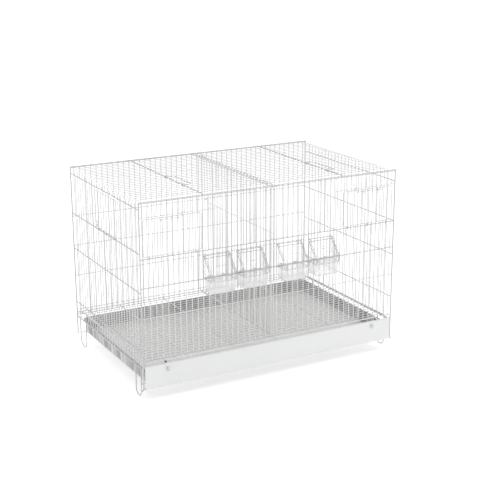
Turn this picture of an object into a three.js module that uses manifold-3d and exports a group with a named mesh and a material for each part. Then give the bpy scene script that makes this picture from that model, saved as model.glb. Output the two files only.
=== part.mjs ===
// Wire breeding cage for small birds: white wire grilles on four
// corner posts, a removable centre divider, a sliding floor grid, a metal tray
// with a front plate, two drop-down front doors, one nest door on the left
// side, four clear hooded feeders on the front and two folding top handles.
// Millimetres, +Z up, front faces -Y, origin under the middle of the body.
import * as THREE from 'three';
import { mergeVertices } from 'three/addons/utils/BufferGeometryUtils.js';
import Module from 'manifold-3d';

const wasm = await Module();
wasm.setup();

// ---------------------------------------------------------------- dimensions
const HALF_W = 300;          // centre of the corner posts from the middle, X
const Y_FRONT = -169;        // plane of the front grille
const Y_BACK = 199;          // plane of the back grille
const Z_TOP = 409;           // plane of the top grille
const WIRE = 2.0;            // grille wire
const RAIL = 2.6;            // frame rail wire
const POST = 3.0;            // corner post wire
const GAP = 0.3;             // gap between touching pieces
const OFFSET = 2.375;        // outer rails run this far outside the uprights
const POST_FOOT = 22;        // lower end of the posts

const FRONT_PITCH = 13;      // upright pitch, front and back
const FRONT_COUNT = 46;
const SIDE_PITCH = 14;       // upright pitch, sides and top
const SIDE_COUNT = 24;
const SIDE_FIRST = -146;     // first side upright, Y

const Z_BOTTOM_RAIL = 80;    // front bottom rail
const Z_FRONT_LOW = 173.5;   // lower front cross wire
const Z_FEEDER_RAIL = 236;   // wire the feeders hang on
const Z_MID_RAIL = 295;      // door hinge rail
const Z_DOOR_TOP = 374.5;    // top wire of the front doors
const Z_HEADER = 378;        // rail above the front doors

const BACK_RAILS = [298, 231, 161, 80, 74];
const Z_BACK_BOTTOM = 68;
const LEFT_BOTTOM = 66, LEFT_RAILS_LOW = [101, 226], LEFT_HINGE = 306, LEFT_TOP = 395;
const RIGHT_BOTTOM = 67, RIGHT_RAILS = [121, 219, 296], RIGHT_TOP = 384;

const TOP_BAR_X = 163.5;     // long bars over the top wires
const SLOT_X = 4;            // bars each side of the divider slot
const BEND = 9;              // side wires turn over the top with this mitre

const DOOR_X0 = 167.5, DOOR_X1 = 292.5, DOOR_WIRES = 11;
const NEST_Y0 = -55, NEST_Y1 = 57, NEST_WIRES = 9, NEST_TOP = 388.5;
const EYE_IN = 2.2, EYE_OUT = 3.8;   // hinge eyes round a rail

const FEEDERS = [-135.5, -61.5, 33, 108.5];   // feeder centres, X
const FEEDER_HALF = 30;
const FEEDER_OUT = 36;       // lip of the feeders in front of their back wall
const FEEDER_TOP = 285.5, FEEDER_Z0 = 211, FEEDER_LIP = 238.6;

const GRID_Z = 76.75, GRID_HALF = 290, GRID_Y0 = -162.5, GRID_Y1 = 191.875, GRID_WIRES = 28;
const GRID_STIFFENERS = [-198, -90, 10, 151];

const TRAY_HALF = 293, TRAY_Y0 = -166, TRAY_Y1 = 194, TRAY_Z0 = 30.6, TRAY_Z1 = 62;
const TRAY_T = 1.0, TRAY_R = 18;
const PULL_X = 248, PULL_Z = 63.5;   // small loops on the tray plate
const BUTTONS = [-251, 262];         // buttons on the front of the floor grid, X
const PLATE_HALF = 297, PLATE_Z0 = 23, PLATE_Z1 = 73, PLATE_Y = -172;

// ------------------------------------------------------------------- solids
function toSolid(geometry) {
  let g = geometry.clone();
  g.deleteAttribute('normal');
  if (g.getAttribute('uv')) g.deleteAttribute('uv');
  g = mergeVertices(g, 1e-4);
  const vertProperties = new Float32Array(g.getAttribute('position').array);
  const triVerts = new Uint32Array(g.getIndex().array);
  return new wasm.Manifold(new wasm.Mesh({ numProp: 3, vertProperties, triVerts }));
}

function toGeometry(solid) {
  const m = solid.getMesh();
  const pos = new Float32Array(m.numVert * 3);
  for (let i = 0; i < m.numVert; i++) {
    for (let j = 0; j < 3; j++) pos[i * 3 + j] = m.vertProperties[i * m.numProp + j];
  }
  const g = new THREE.BufferGeometry();
  g.setAttribute('position', new THREE.BufferAttribute(pos, 3));
  g.setIndex(new THREE.BufferAttribute(new Uint32Array(m.triVerts), 1));
  g.computeVertexNormals();
  return g;
}

function join(list) {
  let items = list.map((g) => (g.isBufferGeometry ? toSolid(g) : g));
  while (items.length > 1) {
    const next = [];
    for (let i = 0; i < items.length; i += 2) {
      next.push(i + 1 < items.length ? items[i].add(items[i + 1]) : items[i]);
    }
    items = next;
  }
  return items[0];
}

function box(x0, x1, y0, y1, z0, z1) {
  const g = new THREE.BoxGeometry(x1 - x0, y1 - y0, z1 - z0);
  g.translate((x0 + x1) / 2, (y0 + y1) / 2, (z0 + z1) / 2);
  return g;
}
// square wires along one axis, centred on the other two coordinates
const barX = (x0, x1, y, z, w = WIRE) => box(x0, x1, y - w / 2, y + w / 2, z - w / 2, z + w / 2);
const barY = (y0, y1, x, z, w = WIRE) => box(x - w / 2, x + w / 2, y0, y1, z - w / 2, z + w / 2);
const barZ = (z0, z1, x, y, w = WIRE) => box(x - w / 2, x + w / 2, y - w / 2, y + w / 2, z0, z1);

// eight-sided ring round a wire, its axis along X or Y
function eye(axis, along, u, v, width, rIn = EYE_IN, rOut = EYE_OUT) {
  const s = new THREE.Shape();
  const k = new THREE.Path();
  for (let i = 0; i < 8; i++) {
    const a = (i + 0.5) * Math.PI / 4;
    const ro = rOut / Math.cos(Math.PI / 8), ri = rIn / Math.cos(Math.PI / 8);
    if (i === 0) s.moveTo(ro * Math.cos(a), ro * Math.sin(a));
    else s.lineTo(ro * Math.cos(a), ro * Math.sin(a));
    const b = -a;
    if (i === 0) k.moveTo(ri * Math.cos(b), ri * Math.sin(b));
    else k.lineTo(ri * Math.cos(b), ri * Math.sin(b));
  }
  s.closePath(); k.closePath();
  s.holes.push(k);
  const g = new THREE.ExtrudeGeometry(s, { depth: width, bevelEnabled: false, steps: 1 });
  g.translate(0, 0, -width / 2);
  if (axis === 'x') { g.rotateY(Math.PI / 2); g.translate(along, u, v); }
  else { g.rotateX(Math.PI / 2); g.translate(u, along, v); }
  return g;
}

// outline in YZ pushed out along X
function prismX(points, x0, x1) {
  const s = new THREE.Shape();
  points.forEach(([y, z], i) => (i ? s.lineTo(y, z) : s.moveTo(y, z)));
  s.closePath();
  const g = new THREE.ExtrudeGeometry(s, { depth: x1 - x0, bevelEnabled: false, steps: 1 });
  // shape x -> Y, shape y -> Z, depth -> X
  g.applyMatrix4(new THREE.Matrix4().set(0, 0, 1, x0, 1, 0, 0, 0, 0, 1, 0, 0, 0, 0, 0, 1));
  return g;
}

// outline in XZ pushed out along Y
function prismY(points, y0, y1) {
  const turn = THREE.ShapeUtils.area(points.map(([x, z]) => new THREE.Vector2(x, z))) < 0;
  const s = new THREE.Shape();
  (turn ? [...points].reverse() : points).forEach(([x, z], i) => (i ? s.lineTo(x, z) : s.moveTo(x, z)));
  s.closePath();
  const g = new THREE.ExtrudeGeometry(s, { depth: y1 - y0, bevelEnabled: false, steps: 1 });
  g.rotateX(Math.PI / 2);   // shape y -> Z, depth -> -Y
  g.translate(0, y1, 0);
  return g;
}

// plan outline with its own radius for the front and the rear corners
function slab(half, y0, y1, rFront, rBack, z0, z1, seg = 6) {
  const s = new THREE.Shape();
  s.moveTo(-half + rFront, y0);
  s.lineTo(half - rFront, y0);
  s.absarc(half - rFront, y0 + rFront, rFront, -Math.PI / 2, 0, false);
  s.lineTo(half, y1 - rBack);
  s.absarc(half - rBack, y1 - rBack, rBack, 0, Math.PI / 2, false);
  s.lineTo(-half + rBack, y1);
  s.absarc(-half + rBack, y1 - rBack, rBack, Math.PI / 2, Math.PI, false);
  s.lineTo(-half, y0 + rFront);
  s.absarc(-half + rFront, y0 + rFront, rFront, Math.PI, Math.PI * 1.5, false);
  const g = new THREE.ExtrudeGeometry(s, { depth: z1 - z0, bevelEnabled: false, curveSegments: seg, steps: 1 });
  g.translate(0, 0, z0);
  return g;
}

// ---------------------------------------------------------------- materials
const LOOKS = {
  white_wire: { color: 0xeceded, roughness: 0.38, metalness: 0.0 },
  white_plate: { color: 0xe9eaea, roughness: 0.42, metalness: 0.0 },
  tray_steel: { color: 0x8d9296, roughness: 0.5, metalness: 0.8 },
  dark_button: { color: 0x1b1b1c, roughness: 0.55, metalness: 0.0 },
  clear_plastic: { color: 0xdfe6ea, roughness: 0.15, metalness: 0.0, transparent: true, opacity: 0.45 },
};

const cage = new THREE.Group();
cage.name = 'breeding_cage';
function add(name, solid, look) {
  const geometry = toGeometry(solid.isBufferGeometry ? toSolid(solid) : solid);
  const mesh = new THREE.Mesh(geometry, new THREE.MeshStandardMaterial(LOOKS[look]));
  mesh.name = name;
  cage.add(mesh);
  return mesh;
}

// ------------------------------------------------------------ frame of posts
const postX = HALF_W, railEnd = HALF_W - POST / 2 - GAP;
const sideY0 = Y_FRONT + POST / 2 + GAP, sideY1 = Y_BACK - POST / 2 - GAP;
add('post_front_left', barZ(POST_FOOT, Z_TOP + RAIL / 2, -postX, Y_FRONT, POST), 'white_wire');
add('post_front_right', barZ(POST_FOOT, Z_TOP + RAIL / 2, postX, Y_FRONT, POST), 'white_wire');
add('post_rear_left', barZ(POST_FOOT, Z_TOP + RAIL / 2, -postX, Y_BACK, POST), 'white_wire');
add('post_rear_right', barZ(POST_FOOT, Z_TOP + RAIL / 2, postX, Y_BACK, POST), 'white_wire');
{
  // the long bars over the top wires are welded to the front rail
  const parts = [barX(-railEnd, railEnd, Y_FRONT, Z_TOP, RAIL)];
  for (const x of [-TOP_BAR_X, TOP_BAR_X]) {
    parts.push(barY(Y_FRONT - 1, Y_BACK - 3, x, Z_TOP + OFFSET));
    parts.push(box(x - 0.9, x + 0.9, Y_FRONT - 0.9, Y_FRONT + 0.9, Z_TOP, Z_TOP + OFFSET));
  }
  add('front_top_rail', join(parts), 'white_wire');
}
add('back_top_rail', barX(-railEnd, railEnd, Y_BACK, Z_TOP, RAIL), 'white_wire');
add('front_mid_rail', barX(-railEnd, railEnd, Y_FRONT, Z_MID_RAIL, RAIL), 'white_wire');
add('front_feeder_rail', barX(-railEnd, railEnd, Y_FRONT, Z_FEEDER_RAIL, RAIL), 'white_wire');

const frontX = [];
for (let i = 0; i < FRONT_COUNT; i++) frontX.push((i - (FRONT_COUNT - 1) / 2) * FRONT_PITCH);
const sideYs = [];
for (let i = 0; i < SIDE_COUNT; i++) sideYs.push(SIDE_FIRST + i * SIDE_PITCH);
const within = (list, a, b) => list.filter((v) => v > a && v < b);

// flat grille in an XZ plane: uprights let into a top and a bottom wire, with
// outer cross wires held at their two ends
function grilleXZ(xs, x0, x1, y, z0, z1, w0, w1, outer = [], side = -1) {
  const parts = [barX(x0, x1, y, z0, w0), barX(x0, x1, y, z1, w1)];
  for (const x of xs) parts.push(barZ(z0, z1, x, y));
  for (const z of outer) {
    parts.push(barX(x0, x1, y + side * OFFSET, z));
    for (const x of [xs[0], xs[xs.length - 1]]) {
      parts.push(box(x - 0.9, x + 0.9, Math.min(y, y + side * OFFSET), Math.max(y, y + side * OFFSET), z - 0.9, z + 0.9));
    }
  }
  return join(parts);
}
// the same in a YZ plane
function grilleYZ(ys, y0, y1, x, z0, z1, w0, w1, outer = [], side = -1) {
  const parts = [barY(y0, y1, x, z0, w0), barY(y0, y1, x, z1, w1)];
  for (const y of ys) parts.push(barZ(z0, z1, x, y));
  for (const z of outer) {
    parts.push(barY(y0, y1, x + side * OFFSET, z));
    for (const y of [ys[0], ys[ys.length - 1]]) {
      parts.push(box(Math.min(x, x + side * OFFSET), Math.max(x, x + side * OFFSET), y - 0.9, y + 0.9, z - 0.9, z + 0.9));
    }
  }
  return join(parts);
}

// ------------------------------------------------------------------- front
const underFeeder = Z_FEEDER_RAIL - RAIL / 2 - GAP - WIRE / 2;
const overFeeder = Z_FEEDER_RAIL + RAIL / 2 + GAP + WIRE / 2;
const underMid = Z_MID_RAIL - EYE_OUT - 0.7 - WIRE / 2;
const underTop = Z_TOP - RAIL / 2 - GAP - WIRE / 2;
add('front_lower_panel', grilleXZ(frontX, -railEnd, railEnd, Y_FRONT, Z_BOTTOM_RAIL, underFeeder, RAIL, WIRE, [Z_FRONT_LOW]), 'white_wire');
const strips = [
  ['front_strip_far_left', -HALF_W, -160], ['front_strip_left', -112, -80],
  ['front_strip_centre', -35, 10], ['front_strip_right', 57, 86], ['front_strip_far_right', 135, HALF_W],
];
for (const [name, a, b] of strips) {
  const xs = within(frontX, a, b);
  const x0 = name.endsWith('far_left') ? -railEnd : xs[0] - 1;
  const x1 = name.endsWith('far_right') ? railEnd : xs[xs.length - 1] + 1;
  add(name, grilleXZ(xs, x0, x1, Y_FRONT, overFeeder, underMid, WIRE, WIRE), 'white_wire');
}
{
  // uprights between the doors hang from the top wire to the hinge rail
  const xs = within(frontX, -150, 150);
  const parts = [barX(-150.5, 150.5, Y_FRONT, underTop)];
  for (const x of xs) parts.push(barZ(Z_MID_RAIL + RAIL / 2 + GAP, underTop, x, Y_FRONT));
  add('front_centre_panel', join(parts), 'white_wire');
}
for (const s of [-1, 1]) {
  const xs = s < 0 ? within(frontX, -HALF_W, -152) : within(frontX, 152, HALF_W);
  const [x0, x1] = s < 0 ? [-railEnd, -151.5] : [151.5, railEnd];
  add(s < 0 ? 'front_header_left' : 'front_header_right',
    grilleXZ(xs, x0, x1, Y_FRONT, Z_HEADER, underTop, WIRE, WIRE), 'white_wire');
}

// ------------------------------------------------------------ back and sides
add('back_panel', grilleXZ(frontX, -railEnd, railEnd, Y_BACK, Z_BACK_BOTTOM, underTop, RAIL, WIRE, BACK_RAILS, 1), 'white_wire');
const underRail = 2.625;     // centre of a wire just under a frame rail
add('right_side_panel', grilleYZ(sideYs, sideY0, sideY1, HALF_W, RIGHT_BOTTOM, RIGHT_TOP - underRail - 0.125, RAIL, 2.25, RIGHT_RAILS, 1), 'white_wire');
add('left_side_lower', grilleYZ(sideYs, sideY0, sideY1, -HALF_W, LEFT_BOTTOM, LEFT_HINGE, RAIL, RAIL, LEFT_RAILS_LOW, -1), 'white_wire');
const overHinge = LEFT_HINGE + 2.875;
const NEST_OPEN0 = -61, NEST_OPEN1 = 63;
add('left_side_front', grilleYZ(within(sideYs, -170, NEST_OPEN0), sideY0, NEST_OPEN0, -HALF_W, overHinge, LEFT_TOP - underRail - 0.125, 2.25, 2.25), 'white_wire');
add('left_side_rear', grilleYZ(within(sideYs, NEST_OPEN1, 190), NEST_OPEN1, sideY1, -HALF_W, overHinge, LEFT_TOP - underRail - 0.125, 2.25, 2.25), 'white_wire');

// --------------------------------------------------------------------- top
for (const s of [-1, 1]) {
  const side = s < 0 ? 'left' : 'right';
  const zRail = s < 0 ? LEFT_TOP : RIGHT_TOP;
  const m = Math.tan(Math.PI / 8), r = WIRE / 2;
  const xBend = HALF_W - BEND - 0.5;
  // the upper side rail with the wires turning over towards the top
  const bend = [barY(sideY0, sideY1, s * HALF_W, zRail, RAIL)];
  for (const y of sideYs) {
    const line = [
      [xBend, Z_TOP + r], [HALF_W - BEND + m * r, Z_TOP + r], [HALF_W + r, Z_TOP - BEND + m * r], [HALF_W + r, zRail],
      [HALF_W - r, zRail], [HALF_W - r, Z_TOP - BEND - m * r], [HALF_W - BEND - m * r, Z_TOP - r], [xBend, Z_TOP - r],
    ];
    bend.push(prismY(line.map(([x, z]) => [s * x, z]), y - r, y + r));
  }
  add(`side_top_bend_${side}`, join(bend), 'white_wire');
  // flat top wires let into the bar beside the divider slot
  const parts = [barY(sideY0, sideY1, s * SLOT_X, Z_TOP, RAIL)];
  const xe = xBend - GAP;
  for (const y of sideYs) parts.push(barX(Math.min(s * SLOT_X, s * xe), Math.max(s * SLOT_X, s * xe), y, Z_TOP));
  add(`top_panel_${side}`, join(parts), 'white_wire');
}

// ------------------------------------------------------- runners and feet
for (const s of [-1, 1]) {
  const side = s < 0 ? 'left' : 'right';
  const z = GRID_Z - WIRE - GAP;
  const xi = s * GRID_HALF, xo = s * (HALF_W - POST / 2 - GAP);
  add(`grid_runner_${side}`, join([
    barY(-166, 196, xi, z),
    barX(Math.min(xi, xo), Math.max(xi, xo), -165, z),
    barX(Math.min(xi, xo), Math.max(xi, xo), 195, z),
  ]), 'white_wire');
  const FOOT = 2.4, fx = s * 297.3;
  const top = (s < 0 ? LEFT_BOTTOM : RIGHT_BOTTOM) + 1;
  for (const [label, y0, y1] of [['front', -150, -124], ['rear', 153, 188]]) {
    add(`foot_${label}_${side}`, join([
      barZ(0, top, fx, y0, FOOT), barZ(0, top, fx, y1, FOOT),
      barY(y0, y1, fx, FOOT / 2, FOOT),
    ]), 'white_wire');
  }
  const tz = TRAY_Z0 - 0.4 - FOOT / 2, rx = s * 284, ro = s * (297.3 - FOOT / 2 - GAP);
  add(`tray_runner_${side}`, join([
    barY(-151, 189, rx, tz, FOOT),
    barX(Math.min(rx, ro), Math.max(rx, ro), -150, tz, FOOT),
    barX(Math.min(rx, ro), Math.max(rx, ro), 188, tz, FOOT),
  ]), 'white_wire');
}

// -------------------------------------------------------------- front doors
for (const s of [-1, 1]) {
  const side = s < 0 ? 'left' : 'right';
  const xs = [];
  for (let i = 0; i < DOOR_WIRES; i++) xs.push(s * (DOOR_X0 + (DOOR_X1 - DOOR_X0) * i / (DOOR_WIRES - 1)));
  const a = Math.min(...xs) - 1, b = Math.max(...xs) + 1;
  const zb = Z_MID_RAIL + 4;
  const parts = [barX(a, b, Y_FRONT, zb), barX(a, b, Y_FRONT, Z_DOOR_TOP)];
  for (const x of xs) parts.push(barZ(zb, Z_DOOR_TOP, x, Y_FRONT));
  for (const x of [180, 230, 280]) parts.push(eye('x', s * x, Y_FRONT, Z_MID_RAIL, 2.5));
  for (const x of [217.5, 255]) parts.push(box(s * x - 1.5, s * x + 1.5, Y_FRONT - 3.3, Y_FRONT, 368, 369.5));
  add(`front_door_${side}`, join(parts), 'white_wire');
  const LATCH = 1.8, ly = Y_FRONT - 2.4, lz = 371.2;
  const l0 = s < 0 ? -260 : 198, l1 = s < 0 ? -212 : 266;
  const hook = s < 0 ? l1 - 0.9 : l0 + 0.9;
  add(`front_door_latch_${side}`, join([
    barX(l0, l1, ly, lz, LATCH),
    barZ(lz, 382, hook, ly, LATCH),
    box(hook - 0.9, hook + 0.9, ly - 5, ly, 380.2, 382),
  ]), 'white_wire');
}

// ---------------------------------------------------------------- nest door
{
  const ys = [];
  for (let i = 0; i < NEST_WIRES; i++) ys.push(NEST_Y0 + (NEST_Y1 - NEST_Y0) * i / (NEST_WIRES - 1));
  const zb = LEFT_HINGE + 4, x = -HALF_W;
  const parts = [barY(NEST_Y0 - 1, NEST_Y1 + 1, x, zb), barY(NEST_Y0 - 1, NEST_Y1 + 1, x, NEST_TOP)];
  for (const y of ys) parts.push(barZ(zb, NEST_TOP, x, y));
  for (const y of [-41, 1, 43]) parts.push(eye('y', y, x, LEFT_HINGE, 2.5));
  add('nest_door', join(parts), 'white_wire');
  const hx = x - 2.2;
  add('nest_door_hook', join([
    barZ(313, 325, hx, 50, 1.8), barY(42, 50, hx, 324.1, 1.8), barZ(318, 325, hx, 42.5, 1.8),
  ]), 'white_wire');
}

// ------------------------------------------------------------------ divider
{
  const y0 = -165.5, y1 = 178, z0 = 85, z1 = 403.5, n = 24;
  const parts = [barY(y0 - 1, y1 + 1, 0, z0), barY(y0 - 1, y1 + 1, 0, z1), barY(y0, 140, 0, 307, 1.6)];
  for (let i = 0; i <= n; i++) parts.push(barZ(z0, z1, 0, y0 + (y1 - y0) * i / n));
  add('divider_panel', join(parts), 'white_wire');
  // two small loops carry it on the bars of the slot
  const zl = z1 + 1.375;
  for (const [label, y] of [['front', 81], ['rear', 152]]) {
    add(`divider_hanger_${label}`, join([
      barZ(zl, 412.75, 0, y - 7), barZ(zl, 412.75, 0, y + 7), barY(y - 8, y + 8, 0, 411.75),
      box(-5.5, 5.5, y - 1, y + 1, 410.75, 412.75),
    ]), 'white_wire');
  }
}

// --------------------------------------------------------------- floor grid
{
  const step = (GRID_Y1 - GRID_Y0) / (GRID_WIRES - 1);
  const parts = [barY(GRID_Y0 - 1, GRID_Y1 + 1, -GRID_HALF, GRID_Z, 2.25), barY(GRID_Y0 - 1, GRID_Y1 + 1, GRID_HALF, GRID_Z, 2.25)];
  for (let i = 0; i < GRID_WIRES; i++) parts.push(barX(-GRID_HALF, GRID_HALF, GRID_Y0 + i * step, GRID_Z));
  for (const x of GRID_STIFFENERS) {
    parts.push(barY(GRID_Y0 - 2, GRID_Y1 + 2, x, GRID_Z - OFFSET));
    for (const y of [GRID_Y0, GRID_Y1]) parts.push(box(x - 0.75, x + 0.75, y - 0.5, y + 0.5, GRID_Z - OFFSET, GRID_Z - 0.25));
  }
  add('floor_grid', join(parts), 'white_wire');
  // two small buttons pressed on its front wire show in the slot over the tray
  BUTTONS.forEach((x, i) => {
    const g = new THREE.CylinderGeometry(1.7, 1.7, 7.5, 12);
    g.translate(x, GRID_Y0 - 1.3 - 3.75, 76);
    add(i ? 'floor_grid_button_right' : 'floor_grid_button_left', g, i ? 'white_wire' : 'dark_button');
  });
}

// --------------------------------------------------------------------- tray
{
  const t = TRAY_T;
  const wallHalf = TRAY_HALF - 4;
  const shell = toSolid(slab(wallHalf, TRAY_Y0 + 3, TRAY_Y1 - 4, 4, TRAY_R - 4, TRAY_Z0, TRAY_Z1 - 1));
  const rim = toSolid(slab(TRAY_HALF, TRAY_Y0, TRAY_Y1, 5, TRAY_R, TRAY_Z1 - 3, TRAY_Z1));
  const hollow = toSolid(slab(wallHalf - t, TRAY_Y0 + 3 + t, TRAY_Y1 - 4 - t, 3.5, TRAY_R - 4 - t, TRAY_Z0 + t, TRAY_Z1 + 5));
  add('tray', shell.add(rim).subtract(hollow), 'tray_steel');
}
{
  const y = PLATE_Y, x = PLATE_HALF;
  const parts = [
    box(-x, x, y, y + 1, PLATE_Z0, PLATE_Z1),
    box(-x, x, y, y + 3.2, PLATE_Z1 - 1, PLATE_Z1),
    box(-x, x, y, y + 5, PLATE_Z0, PLATE_Z0 + 1),
    box(-x + 8, x - 8, y, y + 5.6, 40, 44),
  ];
  const py = y - 2.4, w = 1.5;
  for (const s of [-1, 1]) parts.push(eye('x', s * PULL_X, py, PULL_Z, 2.6, 1.4, 2.7));
  add('tray_front_plate', join(parts), 'white_plate');
  // each loop hangs in its eye and lifts outwards
  for (const s of [-1, 1]) {
    const cx = s * PULL_X;
    add(s < 0 ? 'tray_pull_left' : 'tray_pull_right', join([
      barX(cx - 4, cx + 4, py, PULL_Z, w), barX(cx - 4, cx + 4, py, PULL_Z - 6, w),
      barZ(PULL_Z - 6, PULL_Z, cx - 3.25, py, w), barZ(PULL_Z - 6, PULL_Z, cx + 3.25, py, w),
    ]), 'white_wire');
  }
}

// ------------------------------------------------------------------ feeders
FEEDERS.forEach((cx, i) => {
  const yb = Y_FRONT - 2, h = FEEDER_HALF - 2, t = 1.2, o = FEEDER_OUT;
  const zLip = FEEDER_LIP, z0 = FEEDER_Z0;
  const outer = toSolid(prismX([[yb, z0], [yb - o + 4, z0], [yb - o, zLip], [yb, zLip]], cx - h, cx + h));
  const inner = toSolid(prismX([[yb - t, z0 + t], [yb - o + 4.6 + t / 2, z0 + t], [yb - o + t, zLip + 3], [yb - t, zLip + 3]], cx - h + t, cx + h - t));
  let bin = outer.subtract(inner);
  bin = bin.add(join([box(cx - h, cx + h, yb - t, yb, zLip - 1, 241.2)]));
  for (const s of [-1, 1]) {
    bin = bin.add(join([
      box(cx + s * 16 - 4, cx + s * 16 + 4, yb - t, Y_FRONT + 2.9, 240, 241.2),
      box(cx + s * 16 - 4, cx + s * 16 + 4, Y_FRONT + 1.9, Y_FRONT + 2.9, 234.8, 241.2),
    ]));
  }
  add(`feeder_bin_${i + 1}`, bin, 'clear_plastic');
  const H = FEEDER_HALF, zt = FEEDER_TOP, zs = zLip + GAP;
  const ho = toSolid(prismX([[yb, zs], [yb - o, zs], [yb - o + 2.5, 250.5], [yb - 6.5, zt - 5], [yb - 5, zt], [yb, zt]], cx - H, cx + H));
  const hi = toSolid(prismX([[yb + 5, zs - 3], [yb - o + t, zs - 3], [yb - o + 2.5 + t, 250.2], [yb - 6.5 + 1.1, zt - 5.6], [yb - 4.2, zt - t], [yb + 5, zt - t]], cx - H + t, cx + H - t));
  let hood = ho.subtract(hi);
  // the back edge of the bin stands between the cheeks
  add(`feeder_hood_${i + 1}`, hood, 'clear_plastic');
});

// -------------------------------------------------------------- top handles
for (const s of [-1, 1]) {
  const bx = s * TOP_BAR_X, bz = Z_TOP + OFFSET, w = 1.8;
  const ys = s < 0 ? [-83, 1] : [-111, -27];
  const parts = [];
  for (const y of ys) {
    parts.push(eye('y', y, bx, bz, w, 1.8, 3.4));
    parts.push(box(bx + 2.5, bx + 19, y - 0.75, y + 0.75, 410.5, 412.25));
  }
  parts.push(box(bx + 17.25, bx + 19, ys[0] - 0.75, ys[1] + 0.75, 410.5, 412.25));
  add(s < 0 ? 'top_handle_left' : 'top_handle_right', join(parts), 'white_wire');
}

// origin under the middle of the whole body, feeders included
cage.position.set(0.25, 2.31, 0);
cage.updateMatrixWorld(true);

export default cage;
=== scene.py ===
# Looks of a wire breeding cage. Metres in the scene; the numbers below are
# millimetres in the part's own layout, shifted by (DX, DY) into its frame.
import math
import random
import bpy
from mathutils import Matrix, Vector


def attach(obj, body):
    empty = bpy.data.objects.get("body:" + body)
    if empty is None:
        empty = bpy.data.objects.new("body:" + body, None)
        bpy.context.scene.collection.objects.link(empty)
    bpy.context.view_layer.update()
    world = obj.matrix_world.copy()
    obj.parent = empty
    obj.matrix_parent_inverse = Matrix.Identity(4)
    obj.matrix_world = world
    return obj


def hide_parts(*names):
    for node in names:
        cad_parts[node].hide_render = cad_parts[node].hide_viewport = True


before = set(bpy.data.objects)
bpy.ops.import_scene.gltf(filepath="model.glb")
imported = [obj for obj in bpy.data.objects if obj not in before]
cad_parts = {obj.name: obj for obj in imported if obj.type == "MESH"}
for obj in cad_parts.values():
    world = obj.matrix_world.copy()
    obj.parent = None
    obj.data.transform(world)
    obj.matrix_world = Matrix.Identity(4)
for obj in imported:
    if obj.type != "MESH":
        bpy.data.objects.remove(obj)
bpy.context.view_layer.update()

DX, DY = 0.25, 2.31
rnd = random.Random(7)


def V(x, y, z):
    return Vector(((x + DX) / 1000.0, (y + DY) / 1000.0, z / 1000.0))


# ------------------------------------------------------------------ camera
def add_camera():
    az, el, roll = math.radians(-28.97), math.radians(16.59), math.radians(-0.11)
    eye = Vector((-1.1158, -2.0790, 0.9320))
    back = Vector((math.sin(az) * math.cos(el), -math.cos(az) * math.cos(el), math.sin(el)))
    right = (-back).cross(Vector((0, 0, 1))).normalized()
    up = right.cross(-back)
    r2 = math.cos(roll) * right + math.sin(roll) * up
    u2 = -math.sin(roll) * right + math.cos(roll) * up
    m = Matrix((r2, u2, back)).transposed().to_4x4()
    m.translation = eye
    cam = bpy.data.cameras.new("camera")
    cam.sensor_width = 36.0
    cam.sensor_fit = "HORIZONTAL"
    cam.lens = 1122.3 / 500.0 * 36.0
    cam.clip_start, cam.clip_end = 0.05, 60.0
    ob = bpy.data.objects.new("camera", cam)
    bpy.context.collection.objects.link(ob)
    ob.matrix_world = m
    bpy.context.scene.camera = ob
    return ob


add_camera()


# --------------------------------------------------------------- materials
def new_mat(name):
    m = bpy.data.materials.new(name)
    m.use_nodes = True
    nt = m.node_tree
    nt.nodes.clear()
    out = nt.nodes.new("ShaderNodeOutputMaterial")
    bsdf = nt.nodes.new("ShaderNodeBsdfPrincipled")
    nt.links.new(bsdf.outputs[0], out.inputs[0])
    return m, nt, bsdf


def noise(nt, scale, detail=4.0, rough=0.55, coords="Object", stretch=None):
    tc = nt.nodes.new("ShaderNodeTexCoord")
    n = nt.nodes.new("ShaderNodeTexNoise")
    n.inputs["Scale"].default_value = scale
    n.inputs["Detail"].default_value = detail
    n.inputs["Roughness"].default_value = rough
    src = tc.outputs[coords]
    if stretch:
        mp = nt.nodes.new("ShaderNodeMapping")
        mp.inputs["Scale"].default_value = stretch
        nt.links.new(src, mp.inputs[0])
        src = mp.outputs[0]
    nt.links.new(src, n.inputs["Vector"])
    return n


def ramp(nt, fac, stops):
    r = nt.nodes.new("ShaderNodeValToRGB")
    e = r.color_ramp.elements
    while len(e) < len(stops):
        e.new(0.5)
    for el, (p, c) in zip(e, stops):
        el.position = p
        el.color = (c[0], c[1], c[2], 1.0)
    nt.links.new(fac, r.inputs[0])
    return r


def span(nt, fac, lo, hi):
    m = nt.nodes.new("ShaderNodeMapRange")
    m.inputs["To Min"].default_value = lo
    m.inputs["To Max"].default_value = hi
    nt.links.new(fac, m.inputs["Value"])
    return m


def bump(nt, bsdf, height, strength, distance):
    b = nt.nodes.new("ShaderNodeBump")
    b.inputs["Strength"].default_value = strength
    b.inputs["Distance"].default_value = distance
    nt.links.new(height, b.inputs["Height"])
    nt.links.new(b.outputs[0], bsdf.inputs["Normal"])
    return b


def coated_wire(name, lo, hi, rough):
    # dipped white coating: slight drips and thickness changes along the wire
    m, nt, b = new_mat(name)
    n1 = noise(nt, 9.0, 3.0)
    r = ramp(nt, n1.outputs["Fac"], [(0.25, lo), (0.75, hi)])
    nt.links.new(r.outputs[0], b.inputs["Base Color"])
    n2 = noise(nt, 220.0, 3.0)
    s = span(nt, n2.outputs["Fac"], rough - 0.08, rough + 0.12)
    nt.links.new(s.outputs[0], b.inputs["Roughness"])
    bump(nt, b, n2.outputs["Fac"], 0.35, 0.0003)
    b.inputs["Coat Weight"].default_value = 0.25
    b.inputs["Coat Roughness"].default_value = 0.15
    return m


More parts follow.
